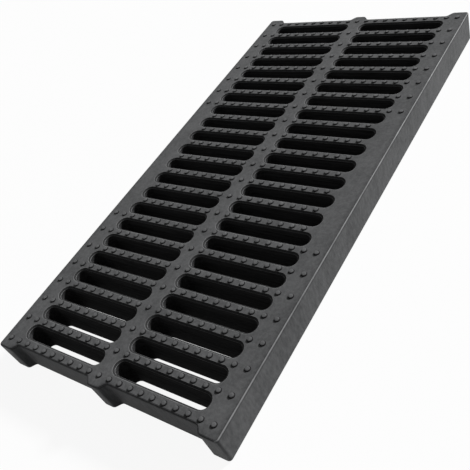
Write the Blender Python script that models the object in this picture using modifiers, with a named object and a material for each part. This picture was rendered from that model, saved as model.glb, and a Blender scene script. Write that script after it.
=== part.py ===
"""Drain grate, moulded in one piece: two columns of long slots between solid cross bars.

Units are metres. X runs across the grate, Y along it and Z up from the underside. The origin is
at the middle of the underside.
"""

import math

import bmesh
import bpy
from mathutils import Matrix, Vector

# Overall size
LENGTH = 0.500
WIDTH = 0.242
DEPTH = 0.030

# Slots, between the margins, the centre spine and the cross bars, as wide as at the top face
SLOT_WIDTH = 0.0160
BAR_WIDTH = 0.0057
SPINE_WIDTH = 0.0130
MARGIN_WIDTH = 0.0194
END_BAR_LEAST = 0.0140
SLOT_END_SEGMENTS = 8

# The slot in section: a rim that slopes in from the top face, then the well below it
RIM_SLOPE_WIDTH = 0.0017
RIM_SLOPE_DEPTH = 0.0013
WELL_TAPER_DEGREES = 0.5

# Shallow notches in both ends leave a foot on each margin and one on the spine
NOTCH_DEPTH = 0.0060
NOTCH_FLARE = 0.0050
NOTCH_FILLET = 0.0040
SPINE_FOOT_WIDTH = 0.0110
MARGIN_FOOT_WIDTH = 0.0160
FOOT_TIP_RADIUS = 0.0045

# Outer edges
SKIRT_DRAFT_DEGREES = 2.0
CORNER_RADIUS = 0.0030
EDGE_RADIUS = 0.0012
FILLET_SEGMENTS = 3

# Anti-slip studs: a row on every bar, which runs on over the margins only near the ends
STUD_HEIGHT = 0.0012
STUD_PITCH = 0.01125
STUD_EDGE_LEAST = 0.0060
STUD_LAND_LEAST = 0.00025
STUD_SIDES = 5
MARGIN_STUD_ROWS = 8

# How far a cutter stands out of what it cuts, and a stud reaches into what it stands on
CUTTER_OVERRUN = 0.0010
STUD_ROOT = 0.00005

# Moulded resin composite, black with a dull sheen
BODY_COLOUR = (0.040, 0.041, 0.042, 1.0)
BODY_ROUGHNESS = 0.52

# Worked out from the sizes above
SLOT_PITCH = SLOT_WIDTH + BAR_WIDTH
SLOT_ROWS = int((LENGTH - 2 * END_BAR_LEAST + BAR_WIDTH) / SLOT_PITCH)
SLOT_INNER_END = SPINE_WIDTH / 2
SLOT_OUTER_END = WIDTH / 2 - MARGIN_WIDTH
STUD_COLUMNS_EACH_SIDE = int((WIDTH / 2 - STUD_EDGE_LEAST) / STUD_PITCH)
STUD_RADIUS = BAR_WIDTH / 2 - STUD_LAND_LEAST


def clear_scene():
    """Removes whatever the file opened with."""
    for obj in list(bpy.data.objects):
        bpy.data.objects.remove(obj, do_unlink=True)


def new_collection(name):
    """Adds a collection to the scene."""
    collection = bpy.data.collections.new(name)
    bpy.context.scene.collection.children.link(collection)
    return collection


def composite_material():
    """The one material of the moulding."""
    material = bpy.data.materials.new("black_composite")
    material.use_nodes = True
    shader = material.node_tree.nodes["Principled BSDF"]
    shader.inputs["Base Color"].default_value = BODY_COLOUR
    shader.inputs["Roughness"].default_value = BODY_ROUGHNESS
    shader.inputs["Metallic"].default_value = 0.0
    return material


def filleted(corners):
    """Returns the points of an outline whose corners are (x, y, radius)."""
    points = []
    for index, (x, y, radius) in enumerate(corners):
        corner = Vector((x, y))
        back = Vector(corners[index - 1][:2]) - corner
        ahead = Vector(corners[(index + 1) % len(corners)][:2]) - corner
        half_angle = back.angle(ahead) / 2
        reach = min(radius / math.tan(half_angle), back.length / 2, ahead.length / 2)
        radius = reach * math.tan(half_angle)
        towards_centre = (back.normalized() + ahead.normalized()).normalized()
        centre = corner + towards_centre * radius / math.sin(half_angle)
        first = corner + back.normalized() * reach - centre
        last = corner + ahead.normalized() * reach - centre
        turn = first.angle_signed(last)
        for step in range(FILLET_SEGMENTS + 1):
            spoke = Matrix.Rotation(-turn * step / FILLET_SEGMENTS, 2) @ first
            points.append(centre + spoke)
    return points


def grate_outline():
    """The plan outline, with a notch on each side of the spine at both ends."""
    half_width = WIDTH / 2
    half_length = LENGTH / 2
    notch_line = half_length - NOTCH_DEPTH
    spine_foot = SPINE_FOOT_WIDTH / 2
    margin_foot = half_width - MARGIN_FOOT_WIDTH
    quarter = [
        (spine_foot, half_length, FOOT_TIP_RADIUS),
        (spine_foot + NOTCH_FLARE, notch_line, NOTCH_FILLET),
        (margin_foot - NOTCH_FLARE, notch_line, NOTCH_FILLET),
        (margin_foot, half_length, FOOT_TIP_RADIUS),
        (half_width, half_length, CORNER_RADIUS),
    ]
    lower = [(x, -y, radius) for x, y, radius in reversed(quarter)]
    right = quarter + lower
    left = [(-x, y, radius) for x, y, radius in reversed(right)]
    return filleted(right + left)


def slab_mesh(name, outline, depth):
    """A flat outline given a depth above the underside, as a closed mesh."""
    curve = bpy.data.curves.new(name, "CURVE")
    curve.dimensions = "2D"
    curve.fill_mode = "BOTH"
    curve.extrude = depth / 2
    spline = curve.splines.new("POLY")
    spline.points.add(len(outline) - 1)
    for point, place in zip(spline.points, outline):
        point.co = (place.x, place.y, 0, 1)
    spline.use_cyclic_u = True
    drawn = bpy.data.objects.new(name, curve)
    bpy.context.scene.collection.objects.link(drawn)
    evaluated = drawn.evaluated_get(bpy.context.evaluated_depsgraph_get())
    mesh = bpy.data.meshes.new_from_object(evaluated)
    bpy.data.objects.remove(drawn)
    bpy.data.curves.remove(curve)
    shape = bmesh.new()
    shape.from_mesh(mesh)
    bmesh.ops.remove_doubles(shape, verts=shape.verts, dist=1e-6)
    bmesh.ops.dissolve_limit(shape, angle_limit=1e-3, verts=shape.verts, edges=shape.edges)
    bmesh.ops.translate(shape, verts=shape.verts, vec=(0, 0, depth / 2))
    shape.to_mesh(mesh)
    shape.free()
    return mesh


def lean_in(mesh):
    """Leans the long sides in towards the underside, so that the moulding leaves its mould."""
    slope = math.tan(math.radians(SKIRT_DRAFT_DEGREES))
    for vertex in mesh.vertices:
        inset = (DEPTH - vertex.co.z) * slope
        vertex.co.x *= 1 - inset / (WIDTH / 2)


def stadium_ring(shape, inner, outer, radius, height):
    """Adds a level ring of vertices: two round ends joined by straight sides, along X."""
    ring = []
    for centre, start in ((outer - radius, -math.pi / 2), (inner + radius, math.pi / 2)):
        for step in range(SLOT_END_SEGMENTS + 1):
            angle = start + math.pi * step / SLOT_END_SEGMENTS
            place = (centre + radius * math.cos(angle), radius * math.sin(angle), height)
            ring.append(shape.verts.new(place))
    return ring


def slot_cutter_mesh():
    """What one slot removes, lofted from the well's foot up through the sloping rim."""
    half_width = SLOT_WIDTH / 2
    well_height = DEPTH - RIM_SLOPE_DEPTH
    taper = math.tan(math.radians(WELL_TAPER_DEGREES))
    overrun = CUTTER_OVERRUN
    # Each section is (inset from the slot's own outline, height).
    sections = [
        (RIM_SLOPE_WIDTH + (well_height + overrun) * taper, -overrun),
        (RIM_SLOPE_WIDTH, well_height),
        (-overrun * RIM_SLOPE_WIDTH / RIM_SLOPE_DEPTH, DEPTH + overrun),
    ]
    shape = bmesh.new()
    rings = []
    for inset, height in sections:
        inner = SLOT_INNER_END + inset
        outer = SLOT_OUTER_END - inset
        rings.append(stadium_ring(shape, inner, outer, half_width - inset, height))
    for lower, upper in zip(rings, rings[1:]):
        for here in range(len(lower)):
            after = (here + 1) % len(lower)
            shape.faces.new((lower[here], lower[after], upper[after], upper[here]))
    shape.faces.new(rings[0][::-1])
    shape.faces.new(rings[-1])
    mesh = bpy.data.meshes.new("slot_cutter")
    shape.to_mesh(mesh)
    shape.free()
    return mesh


def slot_row_places():
    """The Y of each row of slots, centred along the grate."""
    first = -(SLOT_ROWS - 1) * SLOT_PITCH / 2
    return [first + row * SLOT_PITCH for row in range(SLOT_ROWS)]


def place_slot_cutters(cutters):
    """One cutter for each slot, the left column's turned round to mirror the right one's."""
    mesh = slot_cutter_mesh()
    for y in slot_row_places():
        for side, turn in (("right", 0), ("left", math.pi)):
            cutter = bpy.data.objects.new(f"slot_{side}", mesh)
            cutter.matrix_world = Matrix.Translation((0, y, 0)) @ Matrix.Rotation(turn, 4, "Z")
            cutter.hide_render = True
            cutter.display_type = "WIRE"
            cutters.objects.link(cutter)


def stud_row_places():
    """The Y of each row of studs: the middle of every bar, and of both end bars."""
    slots = slot_row_places()
    bars = [(near + far) / 2 for near, far in zip(slots, slots[1:])]
    slot_edge = slots[-1] + SLOT_WIDTH / 2
    end_bar = (slot_edge + LENGTH / 2 - NOTCH_DEPTH) / 2
    return [-end_bar] + bars + [end_bar]


def stud_places():
    """The middle of every stud. The margins stay bare half way along the grate."""
    rows = stud_row_places()
    places = []
    for number, y in enumerate(rows):
        rows_from_end = min(number, len(rows) - 1 - number)
        for column in range(-STUD_COLUMNS_EACH_SIDE, STUD_COLUMNS_EACH_SIDE + 1):
            x = column * STUD_PITCH
            on_margin = abs(x) > SLOT_OUTER_END - SLOT_WIDTH / 2
            if not on_margin or rows_from_end < MARGIN_STUD_ROWS:
                places.append((x, y))
    return places


def stud_field(tools):
    """All the studs in one mesh: low cones as wide as a bar's flat, rooted a little way into it."""
    depth = STUD_HEIGHT + STUD_ROOT
    height = DEPTH - STUD_ROOT + depth / 2
    corner_along_bar = Matrix.Rotation(math.pi / 2, 4, "Z")
    shape = bmesh.new()
    for x, y in stud_places():
        bmesh.ops.create_cone(
            shape,
            cap_ends=True,
            segments=STUD_SIDES,
            radius1=STUD_RADIUS * depth / STUD_HEIGHT,
            radius2=0,
            depth=depth,
            matrix=Matrix.Translation((x, y, height)) @ corner_along_bar,
        )
    mesh = bpy.data.meshes.new("stud_field")
    shape.to_mesh(mesh)
    shape.free()
    field = bpy.data.objects.new("stud_field", mesh)
    field.hide_render = True
    field.display_type = "WIRE"
    tools.objects.link(field)
    return field


def build_grate(parts, slot_cutters, studs):
    """The moulding: a leaning slab with rounded edges, then the slots, then the studs."""
    mesh = slab_mesh("drain_grate", grate_outline(), DEPTH)
    lean_in(mesh)
    grate = bpy.data.objects.new("drain_grate", mesh)
    parts.objects.link(grate)
    grate.data.materials.append(composite_material())

    edges = grate.modifiers.new("rounded_edges", "BEVEL")
    edges.width = EDGE_RADIUS
    edges.segments = 1
    edges.limit_method = "ANGLE"
    edges.angle_limit = math.radians(60)

    slots = grate.modifiers.new("slots", "BOOLEAN")
    slots.operation = "DIFFERENCE"
    slots.solver = "EXACT"
    slots.operand_type = "COLLECTION"
    slots.collection = slot_cutters

    grip = grate.modifiers.new("studs", "BOOLEAN")
    grip.operation = "UNION"
    grip.solver = "EXACT"
    grip.object = studs


def main():
    clear_scene()
    parts = new_collection("drain_grate")
    slot_cutters = new_collection("slot_cutters")
    stud_tools = new_collection("stud_tools")
    slot_cutters.hide_render = True
    stud_tools.hide_render = True
    place_slot_cutters(slot_cutters)
    build_grate(parts, slot_cutters, stud_field(stud_tools))


main()
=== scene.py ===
# %% [markdown]
# # A drain grate in black resin composite
# The real grate is pressed in one shot between two halves of a heated mould. It is a slab with
# two columns of long slots, a centre spine, shallow notches in both ends, and rows of small
# anti-slip studs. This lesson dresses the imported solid: it builds the same slab again with
# round edges, sloping slot rims and round studs, gives it a moulded finish, and lights it.

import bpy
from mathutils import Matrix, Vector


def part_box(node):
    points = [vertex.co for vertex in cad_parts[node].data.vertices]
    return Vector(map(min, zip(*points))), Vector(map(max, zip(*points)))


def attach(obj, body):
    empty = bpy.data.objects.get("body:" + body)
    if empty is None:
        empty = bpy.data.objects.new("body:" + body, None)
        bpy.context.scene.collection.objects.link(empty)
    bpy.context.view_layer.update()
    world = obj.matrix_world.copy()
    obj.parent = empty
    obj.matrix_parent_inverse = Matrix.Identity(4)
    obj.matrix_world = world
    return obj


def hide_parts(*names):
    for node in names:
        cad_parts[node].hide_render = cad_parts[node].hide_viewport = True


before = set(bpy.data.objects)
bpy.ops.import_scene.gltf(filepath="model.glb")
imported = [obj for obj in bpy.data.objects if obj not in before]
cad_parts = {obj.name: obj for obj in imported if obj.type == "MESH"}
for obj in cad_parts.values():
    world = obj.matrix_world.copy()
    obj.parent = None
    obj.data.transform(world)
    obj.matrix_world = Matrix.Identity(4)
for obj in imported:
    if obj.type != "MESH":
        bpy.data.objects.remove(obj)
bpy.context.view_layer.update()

# %% [markdown]
# ## Units and the sizes that the frame gives
# Everything is in metres, so a factor turns the millimetres of a drawing into metres. The
# overall length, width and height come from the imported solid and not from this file. That way
# the dressed grate can't drift away from the solid that it stands for.

# %% Modules and overall sizes
import math

import bmesh
import bpy
from mathutils import Quaternion, Vector

MM = 0.001
grate_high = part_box("drain_grate")[1]
HALF_LENGTH = grate_high.y
HALF_WIDTH = grate_high.x
STUD_HEIGHT = 1.2 * MM
TOP = grate_high.z - STUD_HEIGHT
print(f"length {2 * HALF_LENGTH / MM:.1f}, width {2 * HALF_WIDTH / MM:.1f}, top {TOP / MM:.1f} mm")

# %% [markdown]
# ## Sizes of the pattern
# The slots repeat along the grate at one pitch, the sum of a slot's width and a bar's width.
# Where the slots start and end across the grate follows from the spine and the margins, so
# these few sizes place every slot and every row of studs.

# %% Pattern sizes
SLOT_WIDTH = 16.0 * MM
BAR_WIDTH = 5.7 * MM
SPINE_WIDTH = 13.0 * MM
MARGIN_WIDTH = 19.4 * MM
SLOT_ROWS = 22
SLOT_PITCH = SLOT_WIDTH + BAR_WIDTH
SLOT_OUTER_END = HALF_WIDTH - MARGIN_WIDTH
SLOT_LENGTH = SLOT_OUTER_END - SPINE_WIDTH / 2
COLUMN_DISTANCE = SLOT_OUTER_END + SPINE_WIDTH / 2
print(f"pitch {SLOT_PITCH / MM:.1f}, slots {SLOT_LENGTH / MM:.1f} x {SLOT_WIDTH / MM:.1f} mm")


# %% [markdown]
# ## Helpers for Geometry Nodes
# The slots, the outer wall, the studs and the closing faces are made by Geometry Nodes, so a
# few helpers come first. One makes a tree with named inputs, one adds a node and feeds its
# sockets with numbers or with other nodes, and one runs the tree on an object and keeps the
# result as a plain mesh, baked at once. The exporter drops instances and live trees, which is
# why the result is baked into a mesh at once.

# %% Make a tree with named inputs
SOCKETS = {
    float: "NodeSocketFloat",
    int: "NodeSocketInt",
    "object": "NodeSocketObject",
    "material": "NodeSocketMaterial",
}


def new_tree(name, inputs):
    """A tree with inputs {name: kind} and a material. Returns it, its input and its output."""
    tree = bpy.data.node_groups.new(name, "GeometryNodeTree")
    interface = tree.interface
    for direction in ("INPUT", "OUTPUT"):
        interface.new_socket("Geometry", in_out=direction, socket_type="NodeSocketGeometry")
    for label, kind in inputs.items():
        interface.new_socket(label, in_out="INPUT", socket_type=SOCKETS[kind])
    interface.new_socket("Material", in_out="INPUT", socket_type=SOCKETS["material"])
    return tree, tree.nodes.new("NodeGroupInput"), tree.nodes.new("NodeGroupOutput")


# %% Add a node and feed it
def socket(sockets, name):
    """The socket in use under that name: some nodes keep one for each kind of value."""
    return next(s for s in sockets if s.name == name and s.enabled)


def add(tree, kind, feeds=None, **settings):
    """Adds a node, with its settings, and feeds its inputs with values or with output sockets."""
    made = tree.nodes.new(kind)
    for key, value in settings.items():
        setattr(made, key, value)
    for name, value in (feeds or {}).items():
        target = made.inputs[name] if isinstance(name, int) else socket(made.inputs, name)
        if isinstance(value, bpy.types.NodeSocket):
            tree.links.new(value, target)
        else:
            target.default_value = value
    return made


def maths(tree, operation, first, second=0.0):
    """The output of one sum on numbers or on output sockets."""
    return add(tree, "ShaderNodeMath", {0: first, 1: second}, operation=operation).outputs[0]


def height_of(tree):
    """The height of the point or of the face's middle that the tree is looking at."""
    place = add(tree, "GeometryNodeInputPosition").outputs[0]
    return add(tree, "ShaderNodeSeparateXYZ", {0: place}).outputs[2]


# %% The end that every tree has
WELD = 0.001 * MM


def finish_tree(tree, shape, material, result):
    """Makes instances real, welds what coincides, and gives the shape its material."""
    real = add(tree, "GeometryNodeRealizeInstances", {"Geometry": shape})
    weld = add(tree, "GeometryNodeMergeByDistance", {"Geometry": real.outputs[0], "Distance": WELD})
    dressed = add(
        tree,
        "GeometryNodeSetMaterial",
        {"Geometry": weld.outputs[0], "Material": material},
    )
    tree.links.new(dressed.outputs[0], result.inputs[0])
    return dressed


# %% Run a tree and keep a plain mesh
def run_tree(name, base, tree, values):
    """Runs the tree on the base object and puts the result, a plain object, in its place."""
    modifier = base.modifiers.new(tree.name, "NODES")
    modifier.node_group = tree
    for item in tree.interface.items_tree:
        if item.item_type == "SOCKET" and item.in_out == "INPUT" and item.name in values:
            modifier[item.identifier] = values[item.name]
    view = bpy.context.evaluated_depsgraph_get()
    mesh = bpy.data.meshes.new_from_object(base.evaluated_get(view))
    mesh.name = name
    bpy.data.objects.remove(base)
    made = bpy.data.objects.new(name, mesh)
    bpy.context.scene.collection.objects.link(made)
    print(f"{name}: {len(mesh.vertices)} points, {len(mesh.polygons)} faces")
    return made


# %% [markdown]
# ## The finish
# The resin is filled with carbon black and sand. It comes out of the mould as a very dark grey,
# cloudy over a few centimetres and mottled over a few millimetres. A painted image could show
# that, but it would tie the finish to one unwrapping. Noise textures on Object coordinates give
# the same look from any side.
#
# The shape below stores a number called wear at each point. Above 0 it is
# partly real rubbing, on the stud tops and the land's slot edges, and partly a painted highlight,
# on the round of the long top edges and the lower brinks of the slot rims; the tips of the feet
# are a little paler too. Below 0 it is painted shade: rings round the foot of each stud, the
# slope of each slot rim, the top edges of the ends, and thin dark lines along both sides of the
# top edge. The finish turns the first paler and smoother and the second darker and duller. The
# wells of the slots have a finish of their own. Their mould cores are left rough, so it is dull,
# and it is nearly black, which is painted shade for their depth.

# %% Finish values
RESIN_DARK = (0.043, 0.044, 0.045, 1.0)
RESIN_PALE = (0.092, 0.093, 0.095, 1.0)
# A paler colour for worn spots and painted highlights, and near black for painted shade.
WORN_AND_HIGHLIGHT_COLOUR = (0.300, 0.301, 0.305, 1.0)
PAINTED_SHADE_COLOUR = (0.006, 0.006, 0.006, 1.0)
# The wells are nearly black with paler streaks: painted shade for their depth.
WELL_SHADE_DARK = (0.006, 0.006, 0.006, 1.0)
WELL_SHADE_PALE = (0.034, 0.034, 0.035, 1.0)
RESIN_ROUGHNESS = 0.50
RESIN_GLOSS = 0.07
WORN_AND_HIGHLIGHT_ROUGHNESS = 0.30
PAINTED_SHADE_ROUGHNESS = 0.80
WELL_ROUGHNESS = 0.85
WELL_GLOSS = 0.12
MOULD_PULL = (1.0, 1.0, 0.35)
CORE_LINES = (0.06, 1.0, 1.0)
UNIT_LIMITS = (0.0, 1.0)
NOISE_LIMITS = (0.32, 0.68)
NOISE_ROUGHNESS = 0.6

# Each noise is (scale per metre, how many finer layers lie over it).
PATCHES = (60, 2)
PATCH_LIMITS = (0.5, 1.3)
CLOUDS = (28, 4)
CLOUD_SHARE = 0.35
MOTTLES = (420, 3)
MOTTLE_SHARE = 0.65
GRAIN = (1500, 3)
GRAIN_HEIGHT = 0.04 * MM


# %% Shader helpers
def noise(tree, where, kind):
    """The output of a noise texture of that kind, spread from about 0 to 1."""
    scale, detail = kind
    feeds = {"Vector": where, "Scale": scale, "Detail": detail, "Roughness": NOISE_ROUGHNESS}
    raw = add(tree, "ShaderNodeTexNoise", feeds).outputs["Fac"]
    return ranged(tree, raw, NOISE_LIMITS, UNIT_LIMITS)


def ranged(tree, value, source, target):
    """Carries a value from the source range to the target range, and no further."""
    feeds = {"Value": value}
    for side, limits in (("From", source), ("To", target)):
        feeds[f"{side} Min"], feeds[f"{side} Max"] = limits
    return add(tree, "ShaderNodeMapRange", feeds).outputs["Result"]


def stretched(tree, where, factors):
    """Coordinates times the factors: a texture gets longer along an axis with a small one."""
    feeds = {0: where, 1: factors}
    return add(tree, "ShaderNodeVectorMath", feeds, operation="MULTIPLY").outputs[0]


def colour_mix(tree, amount, first, second):
    """Mixes two colours, each a value or a socket."""
    feeds = {"Factor": amount, "A": first, "B": second}
    mix = add(tree, "ShaderNodeMix", feeds, data_type="RGBA")
    return socket(mix.outputs, "Result")


def new_finish(name):
    """A material, with its tree, its shader and its Object coordinates."""
    material = bpy.data.materials.new(name)
    material.use_nodes = True
    tree = material.node_tree
    where = add(tree, "ShaderNodeTexCoord").outputs["Object"]
    return material, tree, tree.nodes["Principled BSDF"], where


def grained(tree, shader, where):
    """Gives the shader the fine grain of the mould."""
    grain = noise(tree, where, GRAIN)
    feeds = {"Height": grain, "Distance": GRAIN_HEIGHT, "Strength": 1.0}
    bump = add(tree, "ShaderNodeBump", feeds)
    tree.links.new(bump.outputs["Normal"], shader.inputs["Normal"])


# %% The two finishes
def resin_finish():
    """Mottled dark resin, paler where worn or painted with a highlight, and darker where painted
    shade lies.
    """
    material, tree, shader, where = new_finish("moulded_resin")
    wear = add(tree, "ShaderNodeAttribute", attribute_name="wear").outputs["Fac"]
    patchy = ranged(tree, noise(tree, where, PATCHES), UNIT_LIMITS, PATCH_LIMITS)
    # Worn spots and painted highlights turn paler and smoother, painted shade darker and duller.
    worn_or_painted_light = ranged(tree, maths(tree, "MULTIPLY", wear, patchy), UNIT_LIMITS, UNIT_LIMITS)
    painted_shade_share = ranged(tree, wear, (0.0, -1.0), UNIT_LIMITS)
    drawn = stretched(tree, where, MOULD_PULL)
    cloud = maths(tree, "MULTIPLY", noise(tree, drawn, CLOUDS), CLOUD_SHARE)
    mottle = maths(tree, "MULTIPLY", noise(tree, drawn, MOTTLES), MOTTLE_SHARE)
    ground = colour_mix(tree, maths(tree, "ADD", cloud, mottle), RESIN_DARK, RESIN_PALE)
    edged = colour_mix(tree, worn_or_painted_light, ground, WORN_AND_HIGHLIGHT_COLOUR)
    tree.links.new(colour_mix(tree, painted_shade_share, edged, PAINTED_SHADE_COLOUR), shader.inputs["Base Color"])
    smoother = maths(tree, "MULTIPLY", worn_or_painted_light, WORN_AND_HIGHLIGHT_ROUGHNESS - RESIN_ROUGHNESS)
    duller = maths(tree, "MULTIPLY", painted_shade_share, PAINTED_SHADE_ROUGHNESS - RESIN_ROUGHNESS)
    change = maths(tree, "ADD", smoother, duller)
    tree.links.new(maths(tree, "ADD", change, RESIN_ROUGHNESS), shader.inputs["Roughness"])
    shader.inputs["Specular IOR Level"].default_value = RESIN_GLOSS
    grained(tree, shader, where)
    return material


def well_shade_finish():
    """Dull, nearly black resin inside the slots: painted shade for the deep wells, with paler
    streaks along the cores.
    """
    material, tree, shader, where = new_finish("painted_shade_well_resin")
    tone = noise(tree, stretched(tree, where, CORE_LINES), MOTTLES)
    tree.links.new(colour_mix(tree, tone, WELL_SHADE_DARK, WELL_SHADE_PALE), shader.inputs["Base Color"])
    shader.inputs["Roughness"].default_value = WELL_ROUGHNESS
    shader.inputs["Specular IOR Level"].default_value = WELL_GLOSS
    grained(tree, shader, where)
    return material


resin = resin_finish()
well_shade_resin = well_shade_finish()
print("finishes:", resin.name, well_shade_resin.name)

# %% [markdown]
# ## The wall of a slot in section
# Each slot has a rim that slopes down from the land, and below it a well. Both edges of the
# rim are softly rounded. The land's edge is partly rubbed and partly a painted highlight, the
# lower edge is a painted highlight, and the slope between them painted shade. The cores of the
# mould are pulled out upwards, so the well narrows a little towards the underside. Drawn as one
# open line, the section can be swept round the slot's outline, which is what the next step
# does. Each point says how far it stands into the slot, how high it is, and its
# wear.

# %% Section of the slot wall
RIM_SLOPE_WIDTH = 1.7 * MM
RIM_SLOPE_DEPTH = 1.3 * MM
LAND_EDGE_ROUND = 0.5 * MM
WELL_EDGE_ROUND = 0.4 * MM
FOOT_ROUND = 0.5 * MM
WELL_TAPER = math.tan(math.radians(0.5))
BEND_STEPS = 3
# Rim: the land's round is partly rubbed and partly a painted highlight, and the slope is painted
# shade. Brink: the slope's painted shade runs into a painted highlight on the well's edge.
RIM_WEAR_AND_LIGHT = (0.15, 0.9, 0.5, -0.7)
BRINK_PAINTED_LIGHT = (-0.7, 0.3, 0.8, 0.2)


def rounded_bend(before, corner, after, radius, steps=BEND_STEPS):
    """Points on the arc that rounds the corner between two straight stretches."""
    corner = Vector(corner)
    back = (Vector(before) - corner).normalized()
    ahead = (Vector(after) - corner).normalized()
    half_angle = back.angle(ahead) / 2
    reach = radius / math.tan(half_angle)
    centre = corner + (back + ahead).normalized() * radius / math.sin(half_angle)
    first = corner + back * reach - centre
    turn = -first.angle_signed(corner + ahead * reach - centre)
    points = []
    for step in range(steps + 1):
        cosine, sine = math.cos(turn * step / steps), math.sin(turn * step / steps)
        spoke = Vector((first.x * cosine - first.y * sine, first.x * sine + first.y * cosine))
        points.append(centre + spoke)
    return points


def slot_section():
    """(into the slot, height, wear) from the land down to the underside."""
    well_top = (RIM_SLOPE_WIDTH, TOP - RIM_SLOPE_DEPTH)
    well_foot = (RIM_SLOPE_WIDTH + well_top[1] * WELL_TAPER, 0)
    land = (-RIM_SLOPE_WIDTH, TOP)
    underside = (well_foot[0] - RIM_SLOPE_WIDTH, 0)
    rim = rounded_bend(land, (0, TOP), well_top, LAND_EDGE_ROUND)
    brink = rounded_bend((0, TOP), well_top, well_foot, WELL_EDGE_ROUND)
    foot = rounded_bend(well_top, well_foot, underside, FOOT_ROUND)
    points = [(x, z, wear) for (x, z), wear in zip(rim, RIM_WEAR_AND_LIGHT)]
    points += [(x, z, wear) for (x, z), wear in zip(brink, BRINK_PAINTED_LIGHT)]
    return points + [(x, z, 0) for x, z in foot]


SLOT_SECTION = slot_section()
WELL_TOP = SLOT_SECTION[2 * BEND_STEPS + 1][1]
print(f"slot section: {len(SLOT_SECTION)} points, well below {WELL_TOP / MM:.2f} mm")


# %% Draw lines for the sweeps
def line_object(name, places, closed=False):
    """An object of loose edges through the places."""
    mesh = bpy.data.meshes.new(name)
    count = len(places)
    edges = [(i, (i + 1) % count) for i in range(count if closed else count - 1)]
    mesh.from_pydata(places, edges, [])
    line = bpy.data.objects.new(name, mesh)
    bpy.context.scene.collection.objects.link(line)
    return line


def section_object(name, section):
    """A section, given as (how far outwards, height, wear), laid as a sweep needs it."""
    line = line_object(name, [(across, -height, 0) for across, height, wear in section])
    wear_and_light_values = line.data.attributes.new("wear", "FLOAT", "POINT")
    wear_and_light_values.data.foreach_set("value", [wear for across, height, wear in section])
    return line


# %% [markdown]
# ## The slots, by Geometry Nodes
# There are 44 slots, all alike. A rectangle with its corners filleted by almost half its width
# is a slot's outline: a full half would leave two points in one place at each end, and the
# swept wall would fold there. Curve to Mesh sweeps the section round it, a grid of points puts
# one wall at each slot, and Realize Instances turns them into real faces. A sweep lays the
# section's X along the outward side of the outline and its Y downwards, so the section is
# drawn that way.

# %% Tree that sweeps and repeats a slot
SLOT_ARC_STEPS = 14
END_ROUND_SHARE = 0.497


def slot_tree():
    """Sweeps the section that comes in round one slot, and repeats it over both columns."""
    kinds = {
        "Slot Length": float,
        "Slot Width": float,
        "End Round": float,
        "Slot Pitch": float,
        "Column Distance": float,
        "Rows": int,
        "Arc Steps": int,
        "Well Top": float,
    }
    tree, given, result = new_tree("slots", kinds)
    get = given.outputs
    box = add(
        tree,
        "GeometryNodeCurvePrimitiveQuadrilateral",
        {"Width": get["Slot Length"], "Height": get["Slot Width"]},
    )
    rounded = add(
        tree,
        "GeometryNodeFilletCurve",
        {"Curve": box.outputs[0], "Count": get["Arc Steps"], "Radius": get["End Round"]},
        mode="POLY",
    )
    section = add(tree, "GeometryNodeMeshToCurve", {"Mesh": get["Geometry"]})
    wall = add(
        tree,
        "GeometryNodeCurveToMesh",
        {"Curve": rounded.outputs[0], "Profile Curve": section.outputs[0]},
    )
    below = maths(tree, "LESS_THAN", height_of(tree), get["Well Top"])
    marked = add(
        tree,
        "GeometryNodeStoreNamedAttribute",
        {"Geometry": wall.outputs[0], "Name": "well", "Value": below},
        data_type="FLOAT",
        domain="FACE",
    )
    gaps = maths(tree, "SUBTRACT", get["Rows"], 1.0)
    reach = maths(tree, "MULTIPLY", gaps, get["Slot Pitch"])
    grid = add(
        tree,
        "GeometryNodeMeshGrid",
        {
            "Size X": get["Column Distance"],
            "Size Y": reach,
            "Vertices X": 2,
            "Vertices Y": get["Rows"],
        },
    )
    spread = add(
        tree,
        "GeometryNodeInstanceOnPoints",
        {"Points": grid.outputs["Mesh"], "Instance": marked.outputs[0]},
    )
    finish_tree(tree, spread.outputs[0], get["Material"], result)
    return tree


# %% Run the slot tree
outwards = [(-into, height, wear) for into, height, wear in SLOT_SECTION]
slot_walls = run_tree(
    "slot_walls",
    section_object("slot_section", outwards),
    slot_tree(),
    {
        "Slot Length": SLOT_LENGTH,
        "Slot Width": SLOT_WIDTH,
        "End Round": SLOT_WIDTH * END_ROUND_SHARE,
        "Slot Pitch": SLOT_PITCH,
        "Column Distance": COLUMN_DISTANCE,
        "Rows": SLOT_ROWS,
        "Arc Steps": SLOT_ARC_STEPS,
        "Well Top": WELL_TOP,
        "Material": resin,
    },
)

# %% [markdown]
# ## The outer wall
# The outline has a foot on each margin and one on the spine, with shallow notches between
# them. It is drawn as corners with a radius each, and the arcs are worked out. The wall's own
# section is a round top edge, a straight side and a round bottom edge. The long sides lean in
# by 2 degrees, or the moulding would never leave its mould, so the swept wall is leaned too.
# The long edges are rubbed bright where the grate is lifted and dropped into its channel, and
# the edges of the ends, which nothing rubs, keep their grime. Only the tips of the feet touch
# the next grate in a row, so they are a little paler than the notches between them.

# %% Sizes of the outline
NOTCH_DEPTH = 6.0 * MM
NOTCH_FLARE = 5.0 * MM
NOTCH_FILLET = 4.0 * MM
FOOT_TIP_RADIUS = 4.5 * MM
SPINE_FOOT = 5.5 * MM
MARGIN_FOOT = HALF_WIDTH - 16.0 * MM
CORNER_RADIUS = 3.0 * MM
EDGE_RADIUS = 1.2 * MM
EDGE_STEPS = 5
# Painted light on the top edge: a highlight on the round, with thin dark lines on the land beside
# it and on the wall below it. The ends turn all of it into painted shade.
EDGE_PAINTED_LIGHT = (0.0, 0.1, 0.5, 0.5, 0.0, -0.6)
END_PAINTED_SHADE = 1.2
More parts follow.
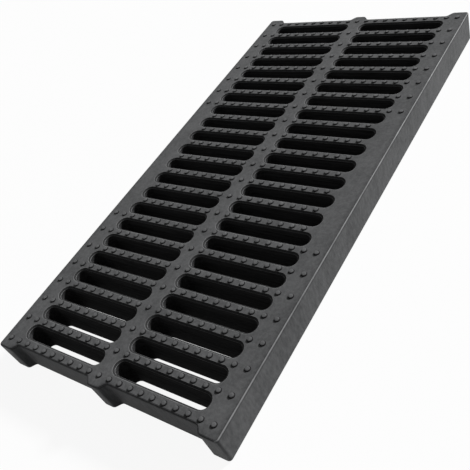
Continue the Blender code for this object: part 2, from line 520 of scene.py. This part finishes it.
# The tips of the feet are made a little paler.
FOOT_TIP_PALING = 0.25
FOOT_BAND = 0.5 * MM
DARK_LINE_DROP = 0.4 * MM
DARK_LINE_FADE = 1.2 * MM
DARK_LINE_SHARE = 0.6
LAND_STRIP = 0.25 * MM
SKIRT_LEAN = math.tan(math.radians(2.0))
FILLET_STEPS = 6


# %% Round a list of corners
def filleted(corners):
    """The points of a closed outline whose corners are (x, y, radius)."""
    points = []
    for index, (x, y, radius) in enumerate(corners):
        before = corners[index - 1][:2]
        after = corners[(index + 1) % len(corners)][:2]
        points += rounded_bend(before, (x, y), after, radius, FILLET_STEPS)
    return points


# %% Outline of the grate
def grate_outline():
    """The plan outline, counter-clockwise, from one quarter mirrored twice."""
    notch_line = HALF_LENGTH - NOTCH_DEPTH
    quarter_corners = [
        (HALF_WIDTH, HALF_LENGTH, CORNER_RADIUS),
        (MARGIN_FOOT, HALF_LENGTH, FOOT_TIP_RADIUS),
        (MARGIN_FOOT - NOTCH_FLARE, notch_line, NOTCH_FILLET),
        (SPINE_FOOT + NOTCH_FLARE, notch_line, NOTCH_FILLET),
        (SPINE_FOOT, HALF_LENGTH, FOOT_TIP_RADIUS),
    ]
    left = [(-x, y, radius) for x, y, radius in reversed(quarter_corners)]
    far = quarter_corners + left
    near = [(-x, -y, radius) for x, y, radius in far]
    return filleted(far + near)


outline = grate_outline()
print("outline:", len(outline), "points")


# %% Section of the outer wall
def quarter(centre, start):
    """Points on a quarter of the edge's circle, counter-clockwise from the start in degrees."""
    across, height = centre
    angles = [math.radians(start + 90 * step / EDGE_STEPS) for step in range(EDGE_STEPS + 1)]
    return [
        (across + EDGE_RADIUS * math.cos(angle), height + EDGE_RADIUS * math.sin(angle))
        for angle in angles
    ]


def wall_section():
    """(how far out of the outline, height, wear) from the underside's edge up onto the land."""
    foot = quarter((-EDGE_RADIUS, EDGE_RADIUS), 270)
    edge = quarter((-EDGE_RADIUS, TOP - EDGE_RADIUS), 0)
    points = [(x, z, 0) for x, z in foot]
    # A thin painted dark line runs along the wall just below the round of the top edge.
    points.append((0, TOP - EDGE_RADIUS - DARK_LINE_FADE, 0))
    points.append((0, TOP - EDGE_RADIUS - DARK_LINE_DROP, -DARK_LINE_SHARE))
    points += [(x, z, wear) for (x, z), wear in zip(edge, EDGE_PAINTED_LIGHT)]
    return points + [(-EDGE_RADIUS - LAND_STRIP, TOP, 0)]


# %% Tree that sweeps and leans the outer wall
def wall_tree():
    """Sweeps the section round the outline that comes in, and leans the long sides in."""
    kinds = {
        "Section": "object",
        "Half Width": float,
        "Lean": float,
        "Lean Start": float,
        "Side Band": float,
        "End Painted Shade": float,
        "Foot Line": float,
        "Foot Tip Paling": float,
    }
    tree, given, result = new_tree("outer_wall", kinds)
    get = given.outputs
    path = add(tree, "GeometryNodeMeshToCurve", {"Mesh": get["Geometry"]})
    drawn = add(tree, "GeometryNodeObjectInfo", {"Object": get["Section"]})
    section = add(tree, "GeometryNodeMeshToCurve", {"Mesh": drawn.outputs["Geometry"]})
    wall = add(
        tree,
        "GeometryNodeCurveToMesh",
        {"Curve": path.outputs[0], "Profile Curve": section.outputs[0]},
    )
    place = add(tree, "GeometryNodeInputPosition").outputs[0]
    parts = add(tree, "ShaderNodeSeparateXYZ", {0: place}).outputs
    drop = maths(tree, "MAXIMUM", maths(tree, "SUBTRACT", get["Lean Start"], parts[2]), 0.0)
    share = maths(tree, "DIVIDE", maths(tree, "MULTIPLY", drop, get["Lean"]), get["Half Width"])
    inwards = maths(tree, "MULTIPLY", maths(tree, "MULTIPLY", parts[0], share), -1.0)
    move = add(tree, "ShaderNodeCombineXYZ", {0: inwards})
    leaned = add(
        tree,
        "GeometryNodeSetPosition",
        {"Geometry": wall.outputs[0], "Offset": move.outputs[0]},
    )
    wear = add(tree, "GeometryNodeInputNamedAttribute", {"Name": "wear"}, data_type="FLOAT")
    wear = socket(wear.outputs, "Attribute")
    # Long sides keep the painted highlight and dark lines; on the ends every mark turns into
    # painted shade. The tips of the feet are then made a little paler.
    side_start = maths(tree, "SUBTRACT", get["Half Width"], get["Side Band"])
    on_side = maths(tree, "GREATER_THAN", maths(tree, "ABSOLUTE", parts[0]), side_start)
    on_end = maths(tree, "SUBTRACT", 1.0, on_side)
    end_shade = maths(tree, "MULTIPLY", maths(tree, "ABSOLUTE", wear), get["End Painted Shade"])
    worn_or_painted_light = maths(tree, "MULTIPLY", wear, on_side)
    edge_light_and_paling = maths(tree, "SUBTRACT", worn_or_painted_light, maths(tree, "MULTIPLY", end_shade, on_end))
    on_foot = maths(tree, "GREATER_THAN", maths(tree, "ABSOLUTE", parts[1]), get["Foot Line"])
    edge_light_and_paling = maths(tree, "ADD", edge_light_and_paling, maths(tree, "MULTIPLY", on_foot, get["Foot Tip Paling"]))
    marked = add(
        tree,
        "GeometryNodeStoreNamedAttribute",
        {"Geometry": leaned.outputs[0], "Name": "wear", "Value": edge_light_and_paling},
        data_type="FLOAT",
        domain="POINT",
    )
    finish_tree(tree, marked.outputs[0], get["Material"], result)
    return tree


# %% Run the wall tree
wall_line = section_object("wall_section", wall_section())
outer_wall = run_tree(
    "outer_wall",
    line_object("outline", [(p.x, p.y, 0) for p in outline], closed=True),
    wall_tree(),
    {
        "Section": wall_line,
        "Half Width": HALF_WIDTH,
        "Lean": SKIRT_LEAN,
        "Lean Start": TOP - EDGE_RADIUS,
        "Side Band": CORNER_RADIUS,
        "End Painted Shade": END_PAINTED_SHADE,
        "Foot Line": HALF_LENGTH - FOOT_BAND,
        "Foot Tip Paling": FOOT_TIP_PALING,
        "Material": resin,
    },
)
bpy.data.objects.remove(wall_line)

# %% [markdown]
# ## One stud
# A stud is a low button with a flat top, a steep side and a small flare where it meets the
# land. It is a turned shape, so each step of a short profile is a ring of points, and faces
# join the rings. It stays open underneath, because its lowest ring is welded to the land later,
# and a hidden floor would be waste. It has only a few dozen faces: there are hundreds of studs.

# %% Stud mesh
STUD_RADIUS = 2.62 * MM
STUD_SIDES = 12

# Each ring is (share of the radius, share of the height, wear). The rings at
# the foot and up the side are painted shade, and the top is a little worn.
STUD_PROFILE = (
    (1.00, 0.00, 0.15),
    (0.96, 0.00, -1.0),
    (0.85, 0.10, -1.0),
    (0.77, 0.78, -0.5),
    (0.64, 0.97, 0.15),
    (0.36, 1.00, 0.15),
)


def stud_object():
    """The stud, as rings of points joined by faces and closed on top."""
    rings = []
    shape = bmesh.new()
    wear = shape.verts.layers.float.new("wear")
    for radius, height, amount in STUD_PROFILE:
        circle = bmesh.ops.create_circle(shape, segments=STUD_SIDES, radius=radius * STUD_RADIUS)
        ring = circle["verts"]
        for point in ring:
            point.co.z = height * STUD_HEIGHT
            point[wear] = amount
        rings.append(ring)
    for lower, upper in zip(rings, rings[1:]):
        for side in range(STUD_SIDES):
            after = (side + 1) % STUD_SIDES
            shape.faces.new((lower[side], lower[after], upper[after], upper[side]))
    shape.faces.new(rings[-1])
    mesh = bpy.data.meshes.new("stud")
    shape.to_mesh(mesh)
    shape.free()
    stud = bpy.data.objects.new("stud", mesh)
    bpy.context.scene.collection.objects.link(stud)
    return stud


# %% [markdown]
# ## The stud field, by Geometry Nodes
# Every bar carries a row of studs. The row runs on over the margins near the ends of the grate
# and stops short of them half way along. A grid of points places them, the points on the bare
# places are deleted, and the end rows move out to the middle of the wider end bars. The height
# varies a little by a seeded random number, because the pockets of a mould don't fill alike.

# %% Sizes of the stud field
STUD_PITCH = 11.25 * MM
STUD_COLUMNS = 21
STUD_ROWS = SLOT_ROWS + 1
MARGIN_STUD_ROWS = 8
END_SLOT_EDGE = (SLOT_ROWS - 1) * SLOT_PITCH / 2 + SLOT_WIDTH / 2
END_ROW = (END_SLOT_EDGE + HALF_LENGTH - NOTCH_DEPTH) / 2
LAST_GRID_ROW = (STUD_ROWS - 1) * SLOT_PITCH / 2
BARE_HALF_LENGTH = LAST_GRID_ROW - (MARGIN_STUD_ROWS - 0.5) * SLOT_PITCH
LEAST_STUD_HEIGHT = 0.82
STUD_SEED = 5
print(f"end rows at {END_ROW / MM:.1f} mm, margins bare within {BARE_HALF_LENGTH / MM:.1f} mm")


# %% Tree that spreads the studs
def stud_tree():
    """Spreads the stud that comes in over the rows and columns, and leaves the bare places."""
    kinds = {
        "Stud Pitch": float,
        "Row Pitch": float,
        "Columns": int,
        "Rows": int,
        "End Row Shift": float,
        "Margin Start": float,
        "Bare Half Length": float,
        "Least Height": float,
        "Seed": int,
    }
    tree, given, result = new_tree("stud_field", kinds)
    get = given.outputs
    wide = maths(tree, "MULTIPLY", maths(tree, "SUBTRACT", get["Columns"], 1.0), get["Stud Pitch"])
    long = maths(tree, "MULTIPLY", maths(tree, "SUBTRACT", get["Rows"], 1.0), get["Row Pitch"])
    grid = add(
        tree,
        "GeometryNodeMeshGrid",
        {"Size X": wide, "Size Y": long, "Vertices X": get["Columns"], "Vertices Y": get["Rows"]},
    )
    place = add(tree, "GeometryNodeInputPosition").outputs[0]
    parts = add(tree, "ShaderNodeSeparateXYZ", {0: place}).outputs
    across = maths(tree, "ABSOLUTE", parts[0])
    along = maths(tree, "ABSOLUTE", parts[1])
    on_margin = maths(tree, "GREATER_THAN", across, get["Margin Start"])
    half_way = maths(tree, "LESS_THAN", along, get["Bare Half Length"])
    bare = maths(tree, "MULTIPLY", on_margin, half_way)
    kept = add(
        tree,
        "GeometryNodeDeleteGeometry",
        {"Geometry": grid.outputs["Mesh"], "Selection": bare},
        domain="POINT",
    )
    last = maths(tree, "SUBTRACT", maths(tree, "MULTIPLY", long, 0.5), get["Row Pitch"])
    is_end = maths(tree, "GREATER_THAN", along, maths(tree, "ADD", last, get["End Row Shift"]))
    outwards = maths(tree, "MULTIPLY", maths(tree, "SIGN", parts[1]), get["End Row Shift"])
    move = add(tree, "ShaderNodeCombineXYZ", {1: maths(tree, "MULTIPLY", outwards, is_end)})
    moved = add(
        tree,
        "GeometryNodeSetPosition",
        {"Geometry": kept.outputs[0], "Offset": move.outputs[0]},
    )
    height = add(
        tree,
        "FunctionNodeRandomValue",
        {"Min": get["Least Height"], "Max": 1.0, "Seed": get["Seed"]},
        data_type="FLOAT",
    )
    scale = add(tree, "ShaderNodeCombineXYZ", {0: 1.0, 1: 1.0, 2: socket(height.outputs, "Value")})
    spread = add(
        tree,
        "GeometryNodeInstanceOnPoints",
        {"Points": moved.outputs[0], "Instance": get["Geometry"], "Scale": scale.outputs[0]},
    )
    finish_tree(tree, spread.outputs[0], get["Material"], result)
    return tree


# %% Run the stud tree
studs = run_tree(
    "studs",
    stud_object(),
    stud_tree(),
    {
        "Stud Pitch": STUD_PITCH,
        "Row Pitch": SLOT_PITCH,
        "Columns": STUD_COLUMNS,
        "Rows": STUD_ROWS,
        "End Row Shift": END_ROW - LAST_GRID_ROW,
        "Margin Start": SLOT_OUTER_END - SLOT_WIDTH / 2,
        "Bare Half Length": BARE_HALF_LENGTH,
        "Least Height": LEAST_STUD_HEIGHT,
        "Seed": STUD_SEED,
        "Material": resin,
    },
)
for point in studs.data.vertices:
    point.co.z += TOP

# %% [markdown]
# ## Closing the moulding
# The slot walls, the outer wall and the studs are open where they meet the land and the
# underside. Those open loops are the holes and the rim of two flat faces, so one more tree
# finds them, fills them with Fill Curve, and welds everything. The flat faces are shaded flat
# and the rest smooth, so that no round edge bleeds across the land.

# %% Tree that fills the land and the underside
def closing_tree():
    """Fills the open loops at the top and at the foot, and welds the whole."""
    tree, given, result = new_tree("closing", {"Top": float, "Well Shade Material": "material"})
    get = given.outputs
    smooth = add(tree, "GeometryNodeSetShadeSmooth", {"Geometry": get["Geometry"]})
    faces_beside = add(tree, "GeometryNodeInputMeshEdgeNeighbors").outputs[0]
    is_open = maths(tree, "LESS_THAN", faces_beside, 2.0)
    height = height_of(tree)
    middle = maths(tree, "MULTIPLY", get["Top"], 0.5)
    everything = add(tree, "GeometryNodeJoinGeometry")
    tree.links.new(smooth.outputs[0], everything.inputs[0])
    for side, level in (("GREATER_THAN", get["Top"]), ("LESS_THAN", 0.0)):
        chosen = maths(tree, "MULTIPLY", is_open, maths(tree, side, height, middle))
        loops = add(
            tree,
            "GeometryNodeMeshToCurve",
            {"Mesh": get["Geometry"], "Selection": chosen},
        )
        face = add(tree, "GeometryNodeFillCurve", {"Curve": loops.outputs[0]}, mode="TRIANGLES")
        lift = add(tree, "ShaderNodeCombineXYZ", {2: level})
        level_face = add(
            tree,
            "GeometryNodeTransform",
            {"Geometry": face.outputs[0], "Translation": lift.outputs[0]},
        )
        flat = add(
            tree,
            "GeometryNodeSetShadeSmooth",
            {"Geometry": level_face.outputs[0], "Shade Smooth": False},
        )
        tree.links.new(flat.outputs[0], everything.inputs[0])
    whole = finish_tree(tree, everything.outputs[0], get["Material"], result)
    # The well faces take the nearly black finish that paints their shade.
    in_well = add(tree, "GeometryNodeInputNamedAttribute", {"Name": "well"}, data_type="FLOAT")
    chosen = maths(tree, "GREATER_THAN", socket(in_well.outputs, "Attribute"), 0.5)
    feeds = {"Geometry": whole.outputs[0], "Selection": chosen, "Material": get["Well Shade Material"]}
    lined = add(tree, "GeometryNodeSetMaterial", feeds)
    tree.links.new(lined.outputs[0], result.inputs[0])
    return tree


# %% Join the open shapes and close them
def joined(pieces):
    """Joins the pieces into the first one."""
    with bpy.context.temp_override(active_object=pieces[0], selected_editable_objects=pieces):
        bpy.ops.object.join()
    return pieces[0]


grate = run_tree(
    "grate_moulding",
    joined([slot_walls, outer_wall, studs]),
    closing_tree(),
    {"Top": TOP, "Well Shade Material": well_shade_resin, "Material": resin},
)

# %% Turn the faces outwards and count the shell's open edges
SHARP_ANGLE = math.radians(40)
shape = bmesh.new()
shape.from_mesh(grate.data)
bmesh.ops.recalc_face_normals(shape, faces=shape.faces)
open_edges = sum(1 for edge in shape.edges if not edge.is_manifold)
triangles = sum(len(face.verts) - 2 for face in shape.faces)
litres = shape.calc_volume() * 1e3
print(f"grate: {triangles} triangles, {open_edges} open edges, {litres:.3f} litres")
shape.to_mesh(grate.data)
shape.free()
grate.data.set_sharp_from_angle(angle=SHARP_ANGLE)

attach(grate, "root")
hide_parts("drain_grate")

# %% [markdown]
# ## The floor and the white surroundings
# The photograph shows the grate cut out on white. A floor that is white only to the camera, to
# reflections and to light passing through keeps that look without pouring light on the grate.
# A part of the plain diffuse floor stays mixed in, so the shadow stays too, and more of it in
# reflections, where the dark floor close to the grate is what gives its low walls their form.

# %% Floor
FLOOR_SIZE = 12.0
FLOOR_DROP = 0.3 * MM
FLOOR_COLOUR = (0.80, 0.80, 0.80, 1.0)
WHITE = (1.0, 1.0, 1.0, 1.0)
WHITE_SEEN = 0.92
WHITE_REFLECTED = 0.35


def mirrored(tree, rays):
    """1 for glossy and transmission rays, and 0 for the others."""
    return maths(tree, "MAXIMUM", rays["Is Glossy Ray"], rays["Is Transmission Ray"])


def floor_finish():
    """White to the camera, apart from a share that keeps the shadow."""
    material = bpy.data.materials.new("white_floor")
    material.use_nodes = True
    tree = material.node_tree
    tree.nodes.clear()
    out = add(tree, "ShaderNodeOutputMaterial")
    matt = add(tree, "ShaderNodeBsdfDiffuse", {"Color": FLOOR_COLOUR})
    white = add(tree, "ShaderNodeEmission", {"Color": WHITE, "Strength": 1.0})
    rays = add(tree, "ShaderNodeLightPath").outputs
    seen = maths(tree, "MULTIPLY", rays["Is Camera Ray"], WHITE_SEEN)
    reflected = maths(tree, "MULTIPLY", mirrored(tree, rays), WHITE_REFLECTED)
    share = maths(tree, "ADD", seen, reflected)
    mix = add(tree, "ShaderNodeMixShader", {0: share, 1: matt.outputs[0], 2: white.outputs[0]})
    tree.links.new(mix.outputs[0], out.inputs["Surface"])
    return material


bpy.ops.mesh.primitive_plane_add(size=FLOOR_SIZE, location=(0, 0, -FLOOR_DROP))
floor = bpy.context.object
floor.name = "floor"
floor.data.materials.append(floor_finish())
print(f"floor: {FLOOR_SIZE:.0f} m square, {FLOOR_DROP / MM:.1f} mm below the grate")

# %% [markdown]
# ## Light
# The light in the photograph comes from behind and from the right: the far sides of the studs
# and the right top edge shine, and their near sides are dark. One large soft lamp stands there,
# far enough away to light both ends of the grate alike. The world fills in at a low level, so
# that a colour renders about as it is written.

# %% World
WORLD_FILL = 0.12


def light_world():
    """White to the camera and to reflections, and a soft fill for everything else."""
    world = bpy.data.worlds.new("studio")
    bpy.context.scene.world = world
    world.use_nodes = True
    tree = world.node_tree
    tree.nodes.clear()
    out = add(tree, "ShaderNodeOutputWorld")
    fill = add(tree, "ShaderNodeBackground", {"Color": WHITE, "Strength": WORLD_FILL})
    white = add(tree, "ShaderNodeBackground", {"Color": WHITE, "Strength": 1.0})
    rays = add(tree, "ShaderNodeLightPath").outputs
    shown = maths(tree, "MAXIMUM", rays["Is Camera Ray"], mirrored(tree, rays))
    mix = add(tree, "ShaderNodeMixShader", {0: shown, 1: fill.outputs[0], 2: white.outputs[0]})
    tree.links.new(mix.outputs[0], out.inputs["Surface"])


light_world()
print(f"world: white to the camera, fill {WORLD_FILL}")


# %% Lamp
def softbox(name, place, size, power):
    """A square area lamp that looks at the middle of the grate."""
    lamp = bpy.data.lights.new(name, "AREA")
    lamp.size = size
    lamp.energy = power
    box = bpy.data.objects.new(name, lamp)
    bpy.context.scene.collection.objects.link(box)
    box.location = place
    box.rotation_mode = "QUATERNION"
    box.rotation_quaternion = (-Vector(place)).to_track_quat("-Z", "Y")


LAMP_PLACE = (5.20, 9.60, 5.90)
LAMP_SIZE = 1.6
LAMP_POWER = 2700
softbox("back_right", LAMP_PLACE, LAMP_SIZE, LAMP_POWER)
print(f"lamp: {LAMP_SIZE} m square, {Vector(LAMP_PLACE).length:.1f} m away")

# %% [markdown]
# ## Camera
# The camera stands off the near right corner and looks down by about 41 degrees. It is rolled,
# which makes the grate run up the frame. Its place, its aim and its lens were worked out from
# the edges and ends of the slots in the photograph.

# %% Camera
CAMERA_PLACE = Vector((346.8, -342.4, 379.7)) * MM
CAMERA_AIM = Vector((32.2, -85.2, 30.0)) * MM
CAMERA_ROLL = math.radians(27.17)
CAMERA_LENS = 48.54
CAMERA_SENSOR = 36.0
CAMERA_CLIP = 10 * MM

camera_data = bpy.data.cameras.new("camera")
camera_data.lens = CAMERA_LENS
camera_data.sensor_width = CAMERA_SENSOR
camera_data.clip_start = CAMERA_CLIP
camera = bpy.data.objects.new("camera", camera_data)
bpy.context.scene.collection.objects.link(camera)
bpy.context.scene.camera = camera
camera.location = CAMERA_PLACE
camera.rotation_mode = "QUATERNION"
aimed = (CAMERA_AIM - CAMERA_PLACE).to_track_quat("-Z", "Y")
camera.rotation_quaternion = aimed @ Quaternion((0, 0, 1), -CAMERA_ROLL)
bpy.context.scene.view_settings.view_transform = "Standard"
print(f"camera: lens {CAMERA_LENS} mm, {(CAMERA_AIM - CAMERA_PLACE).length:.2f} m from its aim")
